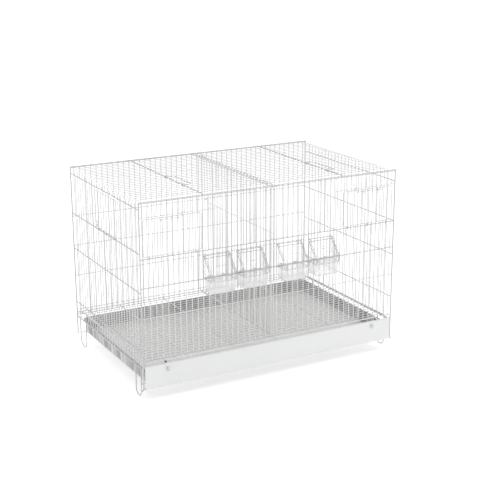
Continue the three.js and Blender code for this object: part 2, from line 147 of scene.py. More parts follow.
def enamel_sheet(name):
    m, nt, b = new_mat(name)
    n1 = noise(nt, 3.0, 4.0)
    r = ramp(nt, n1.outputs["Fac"], [(0.3, (0.80, 0.805, 0.81)), (0.7, (0.845, 0.85, 0.85))])
    nt.links.new(r.outputs[0], b.inputs["Base Color"])
    n2 = noise(nt, 420.0, 2.0)
    s = span(nt, n2.outputs["Fac"], 0.30, 0.46)
    nt.links.new(s.outputs[0], b.inputs["Roughness"])
    n3 = noise(nt, 26.0, 3.0)
    mix = nt.nodes.new("ShaderNodeMath")
    mix.operation = "ADD"
    nt.links.new(n2.outputs["Fac"], mix.inputs[0])
    nt.links.new(n3.outputs["Fac"], mix.inputs[1])
    bump(nt, b, mix.outputs[0], 0.12, 0.0006)
    b.inputs["Coat Weight"].default_value = 0.3
    b.inputs["Coat Roughness"].default_value = 0.12
    return m


def galvanised(name):
    # zinc spangle: patches of slightly different grey and roughness
    m, nt, b = new_mat(name)
    tc = nt.nodes.new("ShaderNodeTexCoord")
    vo = nt.nodes.new("ShaderNodeTexVoronoi")
    vo.inputs["Scale"].default_value = 55.0
    nt.links.new(tc.outputs["Object"], vo.inputs["Vector"])
    sep = nt.nodes.new("ShaderNodeSeparateColor")
    nt.links.new(vo.outputs["Color"], sep.inputs[0])
    r = ramp(nt, sep.outputs[0], [(0.0, (0.760, 0.760, 0.752)), (1.0, (0.790, 0.790, 0.782))])
    n = noise(nt, 6.0, 5.0)
    r2 = ramp(nt, n.outputs["Fac"], [(0.3, (0.935, 0.935, 0.935)), (0.7, (0.985, 0.985, 0.985))])
    mx = nt.nodes.new("ShaderNodeMix")
    mx.data_type = "RGBA"
    mx.blend_type = "MULTIPLY"
    mx.inputs["Factor"].default_value = 1.0
    nt.links.new(r.outputs[0], mx.inputs["A"])
    nt.links.new(r2.outputs[0], mx.inputs["B"])
    # painted reflection and painted shade: dark vertical streaks, like wires reflected in the zinc, darken the walls
    # but not the bottom
    st = noise(nt, 75.0, 3.0, 0.6, stretch=(1.0, 1.0, 0.05))
    painted_reflection_ramp = ramp(nt, st.outputs["Fac"], [(0.40, (0.42, 0.42, 0.43)), (0.62, (0.88, 0.88, 0.88))])
    xyz = nt.nodes.new("ShaderNodeSeparateXYZ")
    nt.links.new(tc.outputs["Object"], xyz.inputs[0])
    wall = nt.nodes.new("ShaderNodeMapRange")
    wall.inputs["From Min"].default_value = 0.0330
    wall.inputs["From Max"].default_value = 0.0350
    nt.links.new(xyz.outputs["Z"], wall.inputs["Value"])
    painted_shade_mix = nt.nodes.new("ShaderNodeMix")
    painted_shade_mix.data_type = "RGBA"
    painted_shade_mix.blend_type = "MULTIPLY"
    nt.links.new(wall.outputs[0], painted_shade_mix.inputs["Factor"])
    nt.links.new(mx.outputs["Result"], painted_shade_mix.inputs["A"])
    nt.links.new(painted_reflection_ramp.outputs[0], painted_shade_mix.inputs["B"])
    nt.links.new(painted_shade_mix.outputs["Result"], b.inputs["Base Color"])
    s = span(nt, sep.outputs[1], 0.44, 0.54)
    nt.links.new(s.outputs[0], b.inputs["Roughness"])
    n2 = noise(nt, 300.0, 2.0)
    bump(nt, b, n2.outputs["Fac"], 0.06, 0.0003)
    b.inputs["Metallic"].default_value = 0.3
    return m


def bright_wire(name):
    m, nt, b = new_mat(name)
    n1 = noise(nt, 60.0, 3.0)
    r = ramp(nt, n1.outputs["Fac"], [(0.3, (0.62, 0.63, 0.64)), (0.7, (0.74, 0.75, 0.76))])
    nt.links.new(r.outputs[0], b.inputs["Base Color"])
    n2 = noise(nt, 500.0, 2.0)
    s = span(nt, n2.outputs["Fac"], 0.24, 0.42)
    nt.links.new(s.outputs[0], b.inputs["Roughness"])
    bump(nt, b, n2.outputs["Fac"], 0.2, 0.0002)
    b.inputs["Metallic"].default_value = 0.7
    return m


def clear_plastic(name, lo, hi, through, ior, rough):
    # moulded clear styrene, lightly hazed by handling
    m, nt, b = new_mat(name)
    n1 = noise(nt, 24.0, 4.0)
    r = ramp(nt, n1.outputs["Fac"], [(0.3, (lo, lo, lo)), (0.7, (hi, hi, hi))])
    nt.links.new(r.outputs[0], b.inputs["Base Color"])
    n2 = noise(nt, 140.0, 5.0, stretch=(1.0, 1.0, 0.3))
    s = span(nt, n2.outputs["Fac"], rough, rough + 0.16)
    nt.links.new(s.outputs[0], b.inputs["Roughness"])
    bump(nt, b, n2.outputs["Fac"], 0.05, 0.0003)
    b.inputs["Transmission Weight"].default_value = through
    b.inputs["IOR"].default_value = ior
    return m


WHITE = coated_wire("white_coated_wire", (0.70, 0.70, 0.70), (0.78, 0.78, 0.775), 0.36)
ENAMEL = enamel_sheet("white_enamel_sheet")
ZINC = galvanised("galvanised_sheet")
BRIGHT = bright_wire("bright_wire")
CLEAR = clear_plastic("clear_styrene", 0.89, 0.93, 0.90, 1.04, 0.03)
BIN = clear_plastic("clear_styrene_bin", 0.97, 0.99, 0.78, 1.03, 0.08)
# the same clear styrene made greyer and less clear for the thick edges and rims: painted shade
EDGE_PAINTED_SHADE = clear_plastic("clear_styrene_painted_shade_edges", 0.64, 0.74, 0.35, 1.15, 0.10)
LIP_PAINTED_SHADE = clear_plastic("clear_styrene_painted_shade_lip", 0.78, 0.86, 0.40, 1.15, 0.14)
# the same white coated wire in three darker copies: painted shade, so side rails, top bars, posts, frame rails and feet
# read as shaded lines
WIRE_PAINTED_SHADE_DEEP = coated_wire("coated_wire_painted_shade_deep", (0.50, 0.50, 0.50), (0.57, 0.57, 0.565), 0.40)
WIRE_PAINTED_SHADE_MID = coated_wire("coated_wire_painted_shade_mid", (0.56, 0.56, 0.56), (0.63, 0.63, 0.625), 0.38)
WIRE_PAINTED_SHADE_LIGHT = coated_wire("coated_wire_painted_shade_light", (0.62, 0.62, 0.62), (0.69, 0.69, 0.685), 0.38)


# painted shade: a near-black stand-in for the dark spot in shade at the grid's front slot
def painted_shade_black(name):
    m, nt, b = new_mat(name)
    n1 = noise(nt, 400.0, 3.0)
    r = ramp(nt, n1.outputs["Fac"], [(0.3, (0.015, 0.015, 0.016)), (0.7, (0.035, 0.035, 0.036))])
    nt.links.new(r.outputs[0], b.inputs["Base Color"])
    s = span(nt, n1.outputs["Fac"], 0.4, 0.6)
    nt.links.new(s.outputs[0], b.inputs["Roughness"])
    bump(nt, b, n1.outputs["Fac"], 0.2, 0.0002)
    return m


BLACK_PAINTED_SHADE = painted_shade_black("black_button_painted_shade")


# ------------------------------------------------------------ mesh building
class Mesher:
    def __init__(self):
        self.v, self.f, self.smooth = [], [], []

    def ring_faces(self, a, b, n, smooth=True):
        for i in range(n):
            j = (i + 1) % n
            self.f.append((a + i, a + j, b + j, b + i))
            self.smooth.append(smooth)

    def tube(self, pts, r, n=8, closed=False, dome=True):
        """Round wire through points (mm)."""
        p = [V(*q) for q in pts]
        r = r / 1000.0
        m = len(p)
        if closed:
            tang = [(p[(i + 1) % m] - p[i - 1]).normalized() for i in range(m)]
        else:
            tang = []
            for i in range(m):
                a = p[max(i - 1, 0)]
                b = p[min(i + 1, m - 1)]
                tang.append((b - a).normalized())
        t = tang[0]
        ref = Vector((0, 0, 1)) if abs(t.z) < 0.9 else Vector((0, 1, 0))
        u = t.cross(ref).normalized()
        rings = []
        for i in range(m):
            t = tang[i]
            u = (u - t * u.dot(t)).normalized()
            w = t.cross(u)
            start = len(self.v)
            for k in range(n):
                a = 2 * math.pi * k / n
                self.v.append(p[i] + r * (math.cos(a) * u + math.sin(a) * w))
            rings.append((start, t.copy(), u.copy(), w))
        for i in range(m - 1):
            self.ring_faces(rings[i][0], rings[i + 1][0], n)
        if closed:
            # match the last ring to the first by the nearest vertex
            a0, b0 = rings[-1][0], rings[0][0]
            off = min(range(n), key=lambda k: (self.v[a0] - self.v[b0 + k]).length)
            for i in range(n):
                j = (i + 1) % n
                self.f.append((a0 + i, a0 + j, b0 + (j + off) % n, b0 + (i + off) % n))
                self.smooth.append(True)
            return
        for end, sgn in ((0, -1), (m - 1, 1)):
            s0, t, u, w = rings[end]
            base = s0
            if dome:
                start = len(self.v)
                c = p[end] + sgn * t * r * 0.45
                for k in range(n):
                    a = 2 * math.pi * k / n
                    self.v.append(c + 0.62 * r * (math.cos(a) * u + math.sin(a) * w))
                if sgn > 0:
                    self.ring_faces(s0, start, n)
                else:
                    self.ring_faces(start, s0, n)
                base = start
            idx = [base + k for k in range(n)]
            self.f.append(tuple(idx if sgn > 0 else idx[::-1]))
            self.smooth.append(True)

    def blob(self, c, rx, ry, rz, n=6):
        """Small weld bead (mm)."""
        c = V(*c)
        rx, ry, rz = rx / 1000.0, ry / 1000.0, rz / 1000.0
        rows = (-0.5, 0.0, 0.5)
        top = len(self.v)
        self.v.append(c + Vector((0, 0, rz)))
        self.v.append(c - Vector((0, 0, rz)))
        starts = []
        for s in rows:
            starts.append(len(self.v))
            q = math.sqrt(1 - s * s)
            for k in range(n):
                a = 2 * math.pi * k / n
                self.v.append(c + Vector((rx * q * math.cos(a), ry * q * math.sin(a), rz * s)))
        for a, b in zip(starts, starts[1:]):
            self.ring_faces(a, b, n)
        for i in range(n):
            j = (i + 1) % n
            self.f.append((top + 1, starts[0] + j, starts[0] + i))
            self.f.append((top, starts[-1] + i, starts[-1] + j))
            self.smooth += [True, True]

    def loft(self, rings, close_first=True, close_last=True, smooth=False):
        """Closed loops of points (mm) with equal counts, joined in order."""
        n = len(rings[0])
        starts = []
        for ring in rings:
            starts.append(len(self.v))
            self.v += [V(*q) for q in ring]
        for a, b in zip(starts, starts[1:]):
            self.ring_faces(a, b, n, smooth)
        if close_first:
            self.f.append(tuple(starts[0] + k for k in range(n))[::-1])
            self.smooth.append(False)
        if close_last:
            self.f.append(tuple(starts[-1] + k for k in range(n)))
            self.smooth.append(False)

    def make(self, name, mat, body, nodes=(), slot=None, bevel=0.0, segments=2, subsurf=0, fix=True):
        me = bpy.data.meshes.new(name)
        me.from_pydata([tuple(v) for v in self.v], [], self.f)
        for poly, s in zip(me.polygons, self.smooth):
            poly.use_smooth = s
        me.validate()
        if fix:
            import bmesh
            bm = bmesh.new()
            bm.from_mesh(me)
            bmesh.ops.recalc_face_normals(bm, faces=bm.faces)
            bm.to_mesh(me)
            bm.free()
        me.materials.append(mat)
        ob = bpy.data.objects.new(name, me)
        bpy.context.collection.objects.link(ob)
        if bevel:
            b = ob.modifiers.new("bevel", "BEVEL")
            b.width = bevel / 1000.0
            b.segments = segments
            b.limit_method = "ANGLE"
            b.angle_limit = math.radians(35)
            b.harden_normals = True
        if subsurf:
            s = ob.modifiers.new("subsurf", "SUBSURF")
            s.levels = s.render_levels = subsurf
        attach(ob, body)
        if nodes:
            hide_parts(*nodes)
        return ob


def fillet(pts, radius, steps=5):
    """Round the inner corners of a polyline (mm)."""
    q = [Vector(p) for p in pts]
    out = [q[0]]
    for a, b, c in zip(q, q[1:], q[2:]):
        d1, d2 = (a - b), (c - b)
        l = min(radius, d1.length * 0.49, d2.length * 0.49)
        if d1.normalized().dot(d2.normalized()) < -0.999:
            out.append(b)
            continue
        s, e = b + d1.normalized() * l, b + d2.normalized() * l
        for i in range(steps + 1):
            t = i / steps
            out.append((1 - t) ** 2 * s + 2 * t * (1 - t) * b + t * t * e)
    out.append(q[-1])
    return [tuple(p) for p in out]


def wavy(a, b, amp=0.22, steps=5):
    """A nearly straight wire from a to b (mm) with a slight hand-bent waviness."""
    a, b = Vector(a), Vector(b)
    d = (b - a)
    u = d.normalized()
    ref = Vector((0, 0, 1)) if abs(u.z) < 0.9 else Vector((0, 1, 0))
    s = u.cross(ref).normalized()
    t = u.cross(s)
    p1, p2 = rnd.uniform(0, 6.28), rnd.uniform(0, 6.28)
    k1, k2 = rnd.uniform(0.5, 1.4), rnd.uniform(0.5, 1.4)
    amp *= rnd.uniform(0.3, 1.0)
    out = []
    for i in range(steps + 1):
        f = i / steps
        e = math.sin(math.pi * f)
        q = a + d * f + e * amp * (s * math.sin(p1 + k1 * 6.28 * f) + t * math.sin(p2 + k2 * 6.28 * f))
        out.append(tuple(q))
    return out


def helix(c, axis, r, turns, length, a0=0.0, per=12):
    """Points of a coil round an axis through c (mm)."""
    n = max(int(turns * per), 4)
    out = []
    for i in range(n + 1):
        f = i / n
        a = a0 + 2 * math.pi * turns * f
        d = (f - 0.5) * length
        if axis == "x":
            out.append((c[0] + d, c[1] + r * math.cos(a), c[2] + r * math.sin(a)))
        elif axis == "y":
            out.append((c[0] + r * math.cos(a), c[1] + d, c[2] + r * math.sin(a)))
        else:
            out.append((c[0] + r * math.cos(a), c[1] + r * math.sin(a), c[2] + d))
    return out


# --------------------------------------------------------------- dimensions
YF, YB, HW, ZT = -169.0, 199.0, 300.0, 409.0
UP = 1.9                      # uprights stand this far inside the frame rails
FX = [(i - 22.5) * 13.0 for i in range(46)]
SY = [-146.0 + 14.0 * i for i in range(24)]
WR, RR, PR = 1.0, 1.3, 1.5    # wire, rail and post radius
FEEDERS = [-135.5, -61.5, 33.0, 108.5]
CUT = [(-155, -112), (-80, -40), (12, 52), (90, 130)]   # uprights cut at the feeders


def weld(m, x, y, z, s=1.0):
    m.blob((x, y, z), 1.35 * s, 1.35 * s, 1.35 * s)


# --------------------------------------------------- posts and frame rails
for name, x, y, ox, oy in (("post_front_left", -HW, YF, -1, 0), ("post_front_right", HW, YF, 1, 0),
                           ("post_rear_left", -HW, YB, 0, 1), ("post_rear_right", HW, YB, 0, 1)):
    m = Mesher()
    # the lower end turns out in a small open curl
    curl = [(x, y, 27.0)]
    for i in range(1, 7):
        a = math.radians(90) * i / 6
        curl.append((x + ox * 5.0 * (1 - math.cos(a)), y + oy * 5.0 * (1 - math.cos(a)), 27.0 - 5.0 * math.sin(a)))
    m.tube([(x, y, ZT + 0.6), (x, y, 300), (x, y, 160)] + curl, PR, 10)
    # beads where the frame rails meet the post
    for z in (295.0, 236.0, 80.0) if y < 0 else (231.0, 298.0, 161.0):
        m.blob((x - math.copysign(1.2, x), y, z), 2.0, 1.7, 1.6, 8)
    m.make(name, WIRE_PAINTED_SHADE_MID, "cage", [name], "white_wire")


def frame_rail(name, z, y, r=RR):
    m = Mesher()
    m.tube(wavy((-HW + 1.0, y, z), (HW - 1.0, y, z), 0.25, 14), r, 10)
    m.make(name, WIRE_PAINTED_SHADE_LIGHT, "cage", [name], "white_wire")


# the long bars over the top wires, welded to the front rail
m = Mesher()
for s in (-1, 1):
    m.tube(wavy((s * 163.5, YF - 0.8, ZT + 2.1), (s * 163.5, YB - 4.0, ZT + 2.1), 0.2, 9), 1.1, 8)
    weld_y = YF + 0.2
    m.blob((s * 163.5, weld_y, ZT + 1.2), 1.5, 1.3, 1.5, 8)
m.make("top_long_bars", WIRE_PAINTED_SHADE_DEEP, "cage", (), "white_wire")


frame_rail("front_top_rail", ZT, YF)
frame_rail("back_top_rail", ZT, YB)
frame_rail("front_mid_rail", 295.0, YF)
frame_rail("front_feeder_rail", 236.0, YF)

# ------------------------------------------------------------ front grille
m = Mesher()
yu = YF + UP
for x in FX:
    in_door = abs(x) > 156
    cut = any(a < x < b for a, b in CUT)
    segs = []
    if in_door:
        segs.append((79.0, 296.2))
        segs.append((376.8, 408.0))
    elif cut:
        segs.append((79.0, 237.2))
        segs.append((293.8, 408.0))
    else:
        segs.append((79.0, 408.0))
    for z0, z1 in segs:
        m.tube(wavy((x, yu, z0), (x, yu, z1), 0.25, 6), WR)
    for z in (80.0, 173.5, 236.0, 295.0, 406.4):
        weld(m, x, YF + 0.9, z, 0.9)
    if in_door:
        weld(m, x, YF + 0.9, 378.0, 0.9)
m.tube(wavy((-HW + 1, YF, 80.0), (HW - 1, YF, 80.0), 0.2, 14), RR, 10)
m.tube(wavy((-HW + 1, YF, 173.5), (HW - 1, YF, 173.5), 0.3, 14), WR)
m.tube(wavy((-HW + 1, YF, 406.3), (HW - 1, YF, 406.3), 0.2, 14), WR)
m.tube(wavy((-HW + 1, YF, 378.0), (-138, YF, 378.0), 0.2, 6), WR)
m.tube(wavy((149.0, YF, 378.0), (HW - 1, YF, 378.0), 0.2, 6), WR)
m.make("front_grille", WHITE, "cage",
       ["front_lower_panel", "front_strip_far_left", "front_strip_left", "front_strip_centre", "front_strip_right",
        "front_strip_far_right", "front_centre_panel", "front_header_left", "front_header_right"], "white_wire")

# ------------------------------------------------------------- back grille
m = Mesher()
for x in FX:
    m.tube(wavy((x, YB, 67.0), (x, YB, 408.0), 0.3, 7), WR)
    for z in (68.0, 74.0, 80.0, 161.0, 231.0, 298.0, 406.4):
        weld(m, x, YB + 1.0, z, 0.85)
for z in (68.0, 74.0, 80.0, 161.0, 231.0, 298.0, 406.4):
    m.tube(wavy((-HW + 1, YB + 1.9, z), (HW - 1, YB + 1.9, z), 0.25, 14), RR if z == 68.0 else WR, 8)
m.make("back_grille", WHITE, "cage", ["back_panel"], "white_wire")


# ------------------------------------------------------ sides and the top
def shell(side, rails, bottom, hinge, top_rail, door):
    m = Mesher()
    mr = Mesher()
    s = side
    xu = s * (HW - UP)
    for y in SY:
        over = [(xu, y, ZT - 9.5)]
        for i in range(1, 7):
            a = math.radians(90) * i / 6
            over.append((s * (HW - UP - 9.5 + 9.5 * math.cos(a)), y, ZT - 9.5 + 9.5 * math.sin(a)))
        flat = wavy((s * (HW - 12), y, ZT), (s * 2.6, y, ZT), 0.3, 7)
        if door and door[0] < y < door[1]:
            m.tube(wavy((xu, y, bottom - 1.0), (xu, y, hinge + 1.0), 0.25, 5), WR)
            m.tube([(xu, y, top_rail - 1.2)] + over + flat, WR)
        else:
            up = wavy((xu, y, bottom - 1.0), (xu, y, ZT - 12), 0.25, 7)
            m.tube(up + over + flat, WR)
        for z in [bottom, top_rail] + rails + ([hinge] if hinge else []):
            weld(mr, s * (HW - 0.9), y, z, 0.9)
        weld(mr, s * 163.5, y, ZT + 1.0, 0.8)
        weld(m, s * 4.0, y, ZT - 1.1, 0.9)
    y0, y1 = YF + 1, YB - 1
    for z in rails:
        mr.tube(wavy((s * HW, y0, z), (s * HW, y1, z), 0.25, 9), 1.1)
    for z in [bottom, top_rail] + ([hinge] if hinge else []):
        mr.tube(wavy((s * HW, y0, z), (s * HW, y1, z), 0.2, 9), RR, 8)
    mr.make("%s_side_rails" % ("left" if s < 0 else "right"), WIRE_PAINTED_SHADE_DEEP, "cage", (), "white_wire")
    m.tube(wavy((s * 4.0, YF + 1, ZT - 2.2), (s * 4.0, YB - 1, ZT - 2.2), 0.25, 9), RR, 8)
    return m


shell(-1, [101.0, 226.0], 66.0, 306.0, 395.0, (-62, 64)).make(
    "left_and_top_grille", WHITE, "cage",
    ["left_side_lower", "left_side_front", "left_side_rear", "side_top_bend_left", "top_panel_left"], "white_wire")
shell(1, [121.0, 219.0, 296.0], 67.0, None, 384.0, None).make(
    "right_and_top_grille", WHITE, "cage", ["right_side_panel", "side_top_bend_right", "top_panel_right"], "white_wire")

# ------------------------------------------------------- feet and runners
for s, side in ((-1, "left"), (1, "right")):
    fx = s * 297.3
    top = 66.0 if s < 0 else 67.0
    for label, y0, y1 in (("front", -150.0, -124.0), ("rear", 153.0, 188.0)):
        m = Mesher()
        pts = fillet([(fx, y0, top + 1.5), (fx, y0, 1.3), (fx, y1, 1.3), (fx, y1, top + 1.5)], 0.49 * (y1 - y0), 9)
        m.tube(pts, 1.3, 10)
        for y in (y0, y1):
            m.blob((fx + s * 1.4, y, top), 1.8, 1.5, 1.6, 8)
        m.make("foot_%s_%s_wire" % (label, side), WIRE_PAINTED_SHADE_LIGHT, "cage", ["foot_%s_%s" % (label, side)], "white_wire")
    m = Mesher()
    rx, ro, tz = s * 284.0, s * 296.6, 29.0
    m.tube(fillet([(ro, -150.0, tz), (rx, -150.0, tz), (rx, 188.0, tz), (ro, 188.0, tz)], 6.0, 5), 1.2, 8)
    m.make("tray_runner_%s_wire" % side, WHITE, "cage", ["tray_runner_%s" % side], "white_wire")
    m = Mesher()
    gz, xi, xo = 74.45, s * 290.0, s * 298.6
    m.tube(fillet([(xo, -165.0, gz), (xi, -165.0, gz), (xi, 195.0, gz), (xo, 195.0, gz)], 5.0, 5), 1.0, 8)
    m.make("grid_runner_%s_wire" % side, WHITE, "cage", ["grid_runner_%s" % side], "white_wire")

# -------------------------------------------------------------- floor grid
m = Mesher()
GY = [-162.5 + 13.125 * i for i in range(28)]
for y in GY:
    m.tube(wavy((-291, y, 76.75), (291, y, 76.75), 0.3, 12), 0.95)
for x in (-198, -90, 10, 151):
    m.tube(wavy((x, GY[0] - 1.5, 74.8), (x, GY[-1] + 1.5, 74.8), 0.3, 8), 1.1)
    for y in GY:
        weld(m, x, y, 75.8, 0.8)
edge = fillet([(-290, GY[0], 76.75), (-290, GY[-1], 76.75), (290, GY[-1], 76.75), (290, GY[0], 76.75)], 4.0, 4)
m.tube(edge, 1.1)
for y in GY:
    for x in (-290, 290):
        weld(m, x, y, 76.75, 0.9)
m.make("floor_grid_wires", WHITE, "floor_grid", ["floor_grid"], "white_wire")
# two small push-on buttons on its front wire; the left one near-black, the right one white: the black is painted shade
for label, x, mat, slot in (("left", -251.0, BLACK_PAINTED_SHADE, "dark_plastic"), ("right", 262.0, WHITE, "white_wire")):
    m = Mesher()
    rings = []
    for y, r in ((-164.0, 1.15), (-164.6, 1.3), (-169.4, 1.3), (-169.6, 1.7), (-170.9, 1.7), (-171.3, 1.35)):
        rings.append([(x + r * math.cos(math.radians(a)), y, 76.0 + r * math.sin(math.radians(a))) for a in range(0, 360, 24)])
    m.loft(rings, smooth=True)
    m.make("floor_grid_button_%s_cap" % label, mat, "floor_grid", ["floor_grid_button_%s" % label], slot)


# -------------------------------------------------------------------- tray
def outline(half, y0, y1, rf, rb, z, seg=8):
    pts = []
    for cx, cy, r, a0 in ((half - rf, y0 + rf, rf, -90), (half - rb, y1 - rb, rb, 0),
                          (-half + rb, y1 - rb, rb, 90), (-half + rf, y0 + rf, rf, 180)):
        for i in range(seg + 1):
            a = math.radians(a0 + 90.0 * i / seg)
            pts.append((cx + r * math.cos(a), cy + r * math.sin(a), z))
    return pts


def tray_ring(inset, z):
    h, y0, y1 = 293.0 - inset, -166.0 + inset * 0.6, 194.0 - inset
    return outline(h, y0, y1, max(6.0 - inset * 0.3, 2.5), 18.0 - inset * 0.9, z)


m = Mesher()
rings = [tray_ring(10.0, 30.6), tray_ring(7.0, 31.2), tray_ring(5.4, 33.4), tray_ring(3.6, 57.5), tray_ring(2.6, 58.4)]
for i in range(0, 9):                     # rolled rim
    a = math.radians(-115 + 240.0 * i / 8)
    rings.append(tray_ring(1.9 - 1.9 * math.cos(a), 60.1 + 1.9 * math.sin(a)))
rings += [tray_ring(4.6, 58.0), tray_ring(6.3, 34.2), tray_ring(8.2, 32.2), tray_ring(11.0, 31.7)]
m.loft(rings, smooth=True)
m.make("tray_pan", ZINC, "tray", ["tray"], "tray_steel")


# ------------------------------------------------------------- front plate
def sheet_section(path, t):
    """Closed outline of a folded sheet: a YZ path thickened by t."""
    q = [Vector((p[0], p[1])) for p in path]
    left, right = [], []
    for i, p in enumerate(q):
        d = (q[min(i + 1, len(q) - 1)] - q[max(i - 1, 0)]).normalized()
        n = Vector((-d.y, d.x))
        left.append(p + n * t / 2)
        right.append(p - n * t / 2)
    return [(a.x, a.y) for a in left] + [(a.x, a.y) for a in reversed(right)]


def fold(path, r, steps=5):
    return [(p[0], p[1]) for p in fillet([(a, b, 0.0) for a, b in path], r, steps)]


m = Mesher()
yp = -171.5
path = fold([(yp + 3.0, 69.5), (yp + 3.0, 72.5), (yp, 72.5), (yp, 23.5), (yp + 4.6, 23.5), (yp + 4.6, 26.5)], 1.4)
sec = sheet_section(path, 0.9)
rings = []
for x, k in ((-297.0, 0.6), (-296.4, 1.0), (-148, 1.0), (0, 1.0), (148, 1.0), (296.4, 1.0), (297.0, 0.6)):
    rings.append([(x, y, 48.0 + (z - 48.0) * (1.0 if k == 1.0 else 0.985)) for y, z in sec])
m.loft(rings, smooth=True)
for s in (-1, 1):
    # a folded ear holds each pull loop
    cx = s * 248.0
    ear = [(-174.4 + 2.3 * math.cos(math.radians(a)), 63.5 + 2.3 * math.sin(math.radians(a))) for a in range(-60, 301, 30)]
    m.tube([(cx - 0.5, ya, za) for ya, za in ear], 0.7, 6)
    m.tube([(cx + 0.6, ya, za) for ya, za in ear], 0.7, 6)
    m.blob((cx, -172.2, 63.5), 3.4, 0.8, 3.4, 14)
m.make("tray_front_plate_sheet", ENAMEL, "tray", ["tray_front_plate"], "plate_enamel", bevel=0.25)

for s, side in ((-1, "left"), (1, "right")):
    cx, cy = s * 248.0, -174.4
    m = Mesher()
    loop = fillet([(cx, cy, 63.5), (cx - 3.6, cy, 63.5), (cx - 3.6, cy, 57.5), (cx + 3.6, cy, 57.5), (cx + 3.6, cy, 63.5), (cx, cy, 63.5)], 1.8, 5)
    m.tube(loop[:-1], 0.75, 8, closed=True)
    m.make("tray_pull_%s_wire" % side, BRIGHT, "tray_pull_%s" % side, ["tray_pull_%s" % side], "bright_wire")

# ------------------------------------------------------------- front doors
for s, side in ((-1, "left"), (1, "right")):
    m = Mesher()
    x0, x1, zb, zt = 167.5, 292.5, 299.0, 374.5
    frame_pts = fillet([(s * 230, YF, zb), (s * x0, YF, zb), (s * x0, YF, zt), (s * x1, YF, zt), (s * x1, YF, zb), (s * 230, YF, zb)], 4.0, 5)
    m.tube(frame_pts[:-1], 1.1, 8, closed=True)
    for i in range(1, 10):
        x = s * (x0 + (x1 - x0) * i / 10)
        m.tube(wavy((x, YF + 0.9, zb - 0.4), (x, YF + 0.9, zt + 0.4), 0.2, 4), WR)
        weld(m, x, YF + 0.5, zb, 0.9)
        weld(m, x, YF + 0.5, zt, 0.9)
    for x in (180.0, 230.0, 280.0):
        # the wire end is turned once round the hinge rail
        m.tube(helix((s * x, YF, 295.0), "x", 2.35, 1.05, 1.2, a0=math.radians(80)), 0.8, 6)
    for x in (217.5, 255.0):
        m.tube(fillet([(s * x, YF, 368.8), (s * x, YF - 4.2, 368.8), (s * x, YF - 4.2, 370.6)], 1.2, 4), 0.8, 6)
    m.make("front_door_%s_wires" % side, WHITE, "front_door_%s" % side, ["front_door_%s" % side], "white_wire")
    m = Mesher()
    ly, lz = YF - 2.4, 371.2
    a, b = (-211.0, -260.0) if s < 0 else (197.8, 266.0)
    e = 1 if s < 0 else -1
    pts = fillet([(b, ly, lz), (a, ly, lz), (a, ly, 380.8), (a + e * 1.5, ly - 1.2, 382.0), (a + e * 4.0, ly - 3.6, 381.0)], 2.2, 5)
    m.tube(pts, 0.9, 8)
    m.make("front_door_latch_%s_wire" % side, BRIGHT, "front_latch_%s" % side, ["front_door_latch_%s" % side], "bright_wire")

# --------------------------------------------------------------- nest door
m = Mesher()
y0, y1, zb, zt = -55.0, 57.0, 310.0, 388.5
pts = fillet([(-HW, 0, zb), (-HW, y0, zb), (-HW, y0, zt), (-HW, y1, zt), (-HW, y1, zb), (-HW, 0, zb)], 4.0, 5)
m.tube(pts[:-1], 1.1, 8, closed=True)
for i in range(1, 8):
    y = y0 + 14.0 * i
    m.tube(wavy((-HW + 0.9, y, zb - 0.4), (-HW + 0.9, y, zt + 0.4), 0.2, 4), WR)
    weld(m, -HW + 0.5, y, zb, 0.9)
    weld(m, -HW + 0.5, y, zt, 0.9)
for y in (-41.0, 1.0, 43.0):
    m.tube(helix((-HW, y, 306.0), "y", 2.3, 1.05, 1.2, a0=math.radians(100)), 0.8, 6)
m.make("nest_door_wires", WHITE, "nest_door", ["nest_door"], "white_wire")
m = Mesher()
hx = -HW - 2.1
m.tube(fillet([(hx, 50.0, 313.0), (hx, 50.0, 324.1), (hx, 42.5, 324.1), (hx, 42.5, 318.0)], 2.6, 5), 0.85, 8)
m.tube(helix((-HW - 0.6, 50.0, 313.4), "y", 1.9, 1.3, 2.0), 0.7, 6)
m.make("nest_door_hook_wire", BRIGHT, "nest_door", ["nest_door_hook"], "bright_wire")

# ----------------------------------------------------------------- divider
m = Mesher()
y0, y1, z0, z1 = -165.5, 178.0, 85.0, 403.5
pts = fillet([(0, 0, z0), (0, y0, z0), (0, y0, z1), (0, y1, z1), (0, y1, z0), (0, 0, z0)], 5.0, 5)
m.tube(pts[:-1], 1.1, 8, closed=True)
DYs = [y0 + (y1 - y0) * i / 24 for i in range(25)]
for y in DYs[1:-1]:
    m.tube(wavy((0.4, y, z0 - 0.5), (0.4, y, z1 + 0.5), 0.3, 6), 0.85)
    weld(m, 0.2, y, z0, 0.85)
    weld(m, 0.2, y, z1, 0.85)
    if y < 140:
        weld(m, 0, y, 307.0, 0.8)
# the cross wire ends in a bent hook beside the rear uprights
m.tube(fillet([(-0.6, y0, 307.0), (-0.6, 132.0, 307.0), (-0.6, 137.0, 315.5), (-0.6, 143.0, 309.5), (-0.6, 146.0, 314.0)], 2.4, 5), 0.9)
m.make("divider_wires", WHITE, "divider", ["divider_panel"], "white_wire")
for label, y in (("front", 81.0), ("rear", 152.0)):
    m = Mesher()
    m.tube(fillet([(0, y - 7, 404.6), (0, y - 7, 411.8), (0, y + 7, 411.8), (0, y + 7, 404.6)], 3.0, 5), 0.9, 8)
    m.tube([(-5.0, y, 411.6), (0, y, 411.7), (5.0, y, 411.6)], 0.9, 8)
    m.make("divider_hanger_%s_wire" % label, WHITE, "divider", ["divider_hanger_%s" % label], "white_wire")


